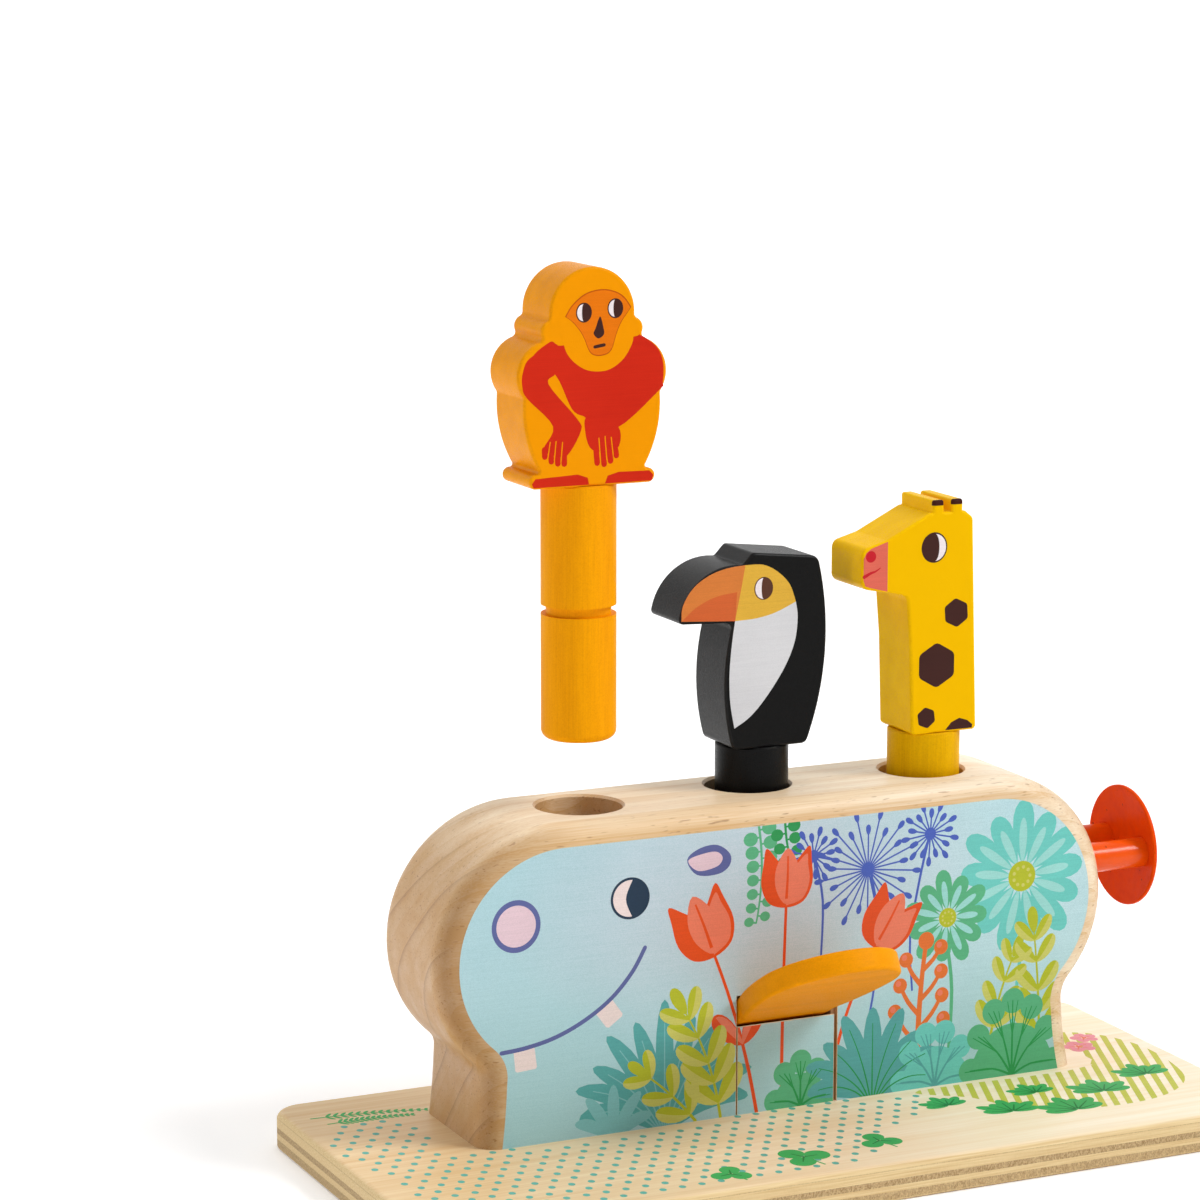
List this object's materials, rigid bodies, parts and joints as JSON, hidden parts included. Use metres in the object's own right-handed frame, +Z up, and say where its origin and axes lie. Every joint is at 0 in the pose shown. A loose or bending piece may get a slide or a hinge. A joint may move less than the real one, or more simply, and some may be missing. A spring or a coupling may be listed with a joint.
{
  "type": "pop up animal toy",
  "caption": "Wooden pop-up toy: a hippo-shaped block on a board, with animals on pegs raised by springs, a tongue lever and a push knob.",
  "frame": {"origin": "centre of the base board's underside", "axes": "+X along the block from the hippo's nose to its rump, the printed side faces -Y, +Z up"},
  "size_m": [0.3, 0.137, 0.2863],
  "materials": {
    "plywood": "clear satin varnish, printed top",
    "pine": "clear satin varnish, printed front",
    "printed_filler": "satin print",
    "hardwood": "bare, sanded",
    "orange_lacquer": "satin lacquer",
    "black_lacquer": "satin lacquer",
    "yellow_lacquer": "satin lacquer",
    "tongue_lacquer": "satin lacquer",
    "red_lacquer": "gloss lacquer",
    "spring_steel": "bright",
    "plate_steel": "zinc plated"
  },
  "bodies": {
    "root": {"base_board": "plywood", "hippo_body": "pine", "slot_cover": "printed_filler", "body_screws": "plate_steel", "lever_pin": "plate_steel", "monkey_spring": "spring_steel", "giraffe_spring": "spring_steel", "plunger_spring": "spring_steel"},
    "monkey_pusher": {"monkey_pusher": "hardwood"},
    "monkey": {"monkey_peg": "orange_lacquer", "monkey_figure": "orange_lacquer"},
    "lever": {"lever_board": "tongue_lacquer"},
    "toucan_pusher": {"toucan_pusher": "hardwood"},
    "toucan": {"toucan_peg": "black_lacquer", "toucan_figure": "black_lacquer"},
    "giraffe_pusher": {"giraffe_pusher": "hardwood"},
    "giraffe": {"giraffe_peg": "yellow_lacquer", "giraffe_figure": "yellow_lacquer"},
    "plunger": {"plunger_knob": "red_lacquer", "plunger_rod_front": "red_lacquer", "plunger_rod_back": "red_lacquer", "rod_bridge": "hardwood", "latch_plate": "plate_steel"}
  },
  "joints": [
    {"name": "monkey_press", "type": "slide", "parent": "root", "child": "monkey_pusher", "axis": [0, 0, 1], "range_m": [-0.0135, 0], "stiffness_N_per_m": 400, "springref_m": 0.006, "deforming": ["monkey_spring"]},
    {"name": "monkey_lift", "type": "slide", "parent": "monkey_pusher", "child": "monkey", "axis": [0, 0, 1], "range_m": [-0.09, 0.03]},
    {"name": "tongue_press", "type": "hinge", "parent": "root", "child": "lever", "pos_m": [0.0012, 0, 0.0448], "axis": [1, 0, 0], "range_deg": [0, 18]},
    {"name": "toucan_push", "type": "slide", "parent": "root", "child": "toucan_pusher", "axis": [0, 0, 1], "range_m": [0, 0.0082]},
    {"name": "toucan_lift", "type": "slide", "parent": "toucan_pusher", "child": "toucan", "axis": [0, 0, 1], "range_m": [0, 0.09]},
    {"name": "giraffe_press", "type": "slide", "parent": "root", "child": "giraffe_pusher", "axis": [0, 0, 1], "range_m": [-0.0135, 0], "stiffness_N_per_m": 400, "springref_m": 0.006, "deforming": ["giraffe_spring"]},
    {"name": "giraffe_lift", "type": "slide", "parent": "giraffe_pusher", "child": "giraffe", "axis": [0, 0, 1], "range_m": [0, 0.09]},
    {"name": "knob_push", "type": "slide", "parent": "root", "child": "plunger", "axis": [-1, 0, 0], "range_m": [0, 0.012], "stiffness_N_per_m": 250, "springref_m": -0.004, "deforming": ["plunger_spring"]}
  ],
  "couplings": [
    {"joint": "toucan_push", "follows": "tongue_press", "m_per_rad": 0.02582}
  ]
}
